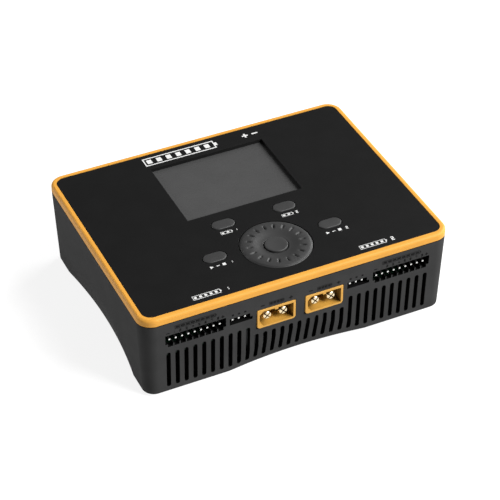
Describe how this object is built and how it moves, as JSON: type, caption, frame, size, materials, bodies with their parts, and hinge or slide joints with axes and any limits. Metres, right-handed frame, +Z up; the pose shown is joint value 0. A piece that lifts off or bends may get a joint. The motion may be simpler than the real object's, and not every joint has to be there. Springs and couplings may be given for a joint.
{
  "type": "balance battery charger",
  "caption": "Tabletop balance battery charger with a screen, jog dial, keys, battery sockets, vents and cooling fans.",
  "frame": {"origin": "middle of the ground under the four feet", "axes": "+X to the operator's right, +Y to the rear wall, +Z up"},
  "size_m": [0.1266, 0.0964, 0.0388],
  "materials": {
    "case_plastic": "fine matt moulding, black-grey",
    "trim_plastic": "smooth satin orange",
    "panel_plastic": "black satin panel with white legends",
    "key_plastic": "satin dark grey",
    "screen_glass": "smooth grey screen window, screen off",
    "display_glass": "smooth dark",
    "white_plastic": "matt white",
    "board_green": "solder resist",
    "socket_plastic": "moulded amber nylon",
    "header_plastic": "matt black nylon",
    "plated_metal": "tin plated",
    "gold_plate": "gold plated",
    "steel": "satin",
    "aluminium": "extruded",
    "fan_plastic": "satin black",
    "copper": "enamelled copper wire",
    "can_metal": "sleeved can",
    "pad_rubber": "soft silicone",
    "foot_rubber": "soft matt rubber"
  },
  "bodies": {
    "case": {"lower_housing": "case_plastic", "trim_ring": "trim_plastic", "top_panel": "panel_plastic", "screen_window": "screen_glass", "lcd_panel": "display_glass", "lcd_backlight": "white_plastic", "control_board": "board_green", "main_board": "board_green", "enter_key_switch": "header_plastic", "encoder_base": "header_plastic", "board_link": "header_plastic", "beeper": "header_plastic", "inductor_1": "copper", "inductor_2": "copper", "capacitor_1": "can_metal", "capacitor_2": "can_metal", "heatsink": "aluminium", "thermal_pad": "pad_rubber", "output_socket_1": "socket_plastic", "output_socket_2": "socket_plastic", "input_socket": "socket_plastic", "usb_port": "steel", "card_socket": "steel", "fan_frame_left": "fan_plastic", "fan_frame_right": "fan_plastic", "status_key_1_switch": "header_plastic", "status_key_2_switch": "header_plastic", "start_key_1_switch": "header_plastic", "start_key_2_switch": "header_plastic", "output_pin_1_left": "gold_plate", "output_pin_1_right": "gold_plate", "balance_header_1": "header_plastic", "balance_pins_1": "plated_metal", "data_header_1": "header_plastic", "data_pins_1": "plated_metal", "output_pin_2_left": "gold_plate", "output_pin_2_right": "gold_plate", "balance_header_2": "header_plastic", "balance_pins_2": "plated_metal", "data_header_2": "header_plastic", "data_pins_2": "plated_metal", "input_pin_left": "gold_plate", "input_pin_right": "gold_plate", "case_screw_1": "steel", "rubber_foot_1": "foot_rubber", "case_screw_2": "steel", "rubber_foot_2": "foot_rubber", "case_screw_3": "steel", "rubber_foot_3": "foot_rubber", "case_screw_4": "steel", "rubber_foot_4": "foot_rubber"},
    "dial": {"dial_ring": "key_plastic"},
    "enter": {"enter_key": "key_plastic"},
    "status_1": {"status_key_1": "key_plastic"},
    "status_2": {"status_key_2": "key_plastic"},
    "start_1": {"start_key_1": "key_plastic"},
    "start_2": {"start_key_2": "key_plastic"},
    "fan_left": {"fan_rotor_left": "fan_plastic"},
    "fan_right": {"fan_rotor_right": "fan_plastic"}
  },
  "joints": [
    {"name": "dial_spin", "type": "hinge", "parent": "case", "child": "dial", "pos_m": [0, -0.0271, 0.0367], "axis": [0, 0, 1], "continuous": true},
    {"name": "enter_press", "type": "slide", "parent": "case", "child": "enter", "axis": [0, 0, -1], "range_m": [0, 0.0005], "stiffness_N_per_m": 1000},
    {"name": "status_1_press", "type": "slide", "parent": "case", "child": "status_1", "axis": [0, 0, -1], "range_m": [0, 0.0005], "stiffness_N_per_m": 1000},
    {"name": "status_2_press", "type": "slide", "parent": "case", "child": "status_2", "axis": [0, 0, -1], "range_m": [0, 0.0005], "stiffness_N_per_m": 1000},
    {"name": "start_1_press", "type": "slide", "parent": "case", "child": "start_1", "axis": [0, 0, -1], "range_m": [0, 0.0005], "stiffness_N_per_m": 1000},
    {"name": "start_2_press", "type": "slide", "parent": "case", "child": "start_2", "axis": [0, 0, -1], "range_m": [0, 0.0005], "stiffness_N_per_m": 1000},
    {"name": "fan_left_spin", "type": "hinge", "parent": "case", "child": "fan_left", "pos_m": [-0.036, 0.0389, 0.0161], "axis": [0, 1, 0], "continuous": true},
    {"name": "fan_right_spin", "type": "hinge", "parent": "case", "child": "fan_right", "pos_m": [0.036, 0.0389, 0.0161], "axis": [0, 1, 0], "continuous": true}
  ]
}
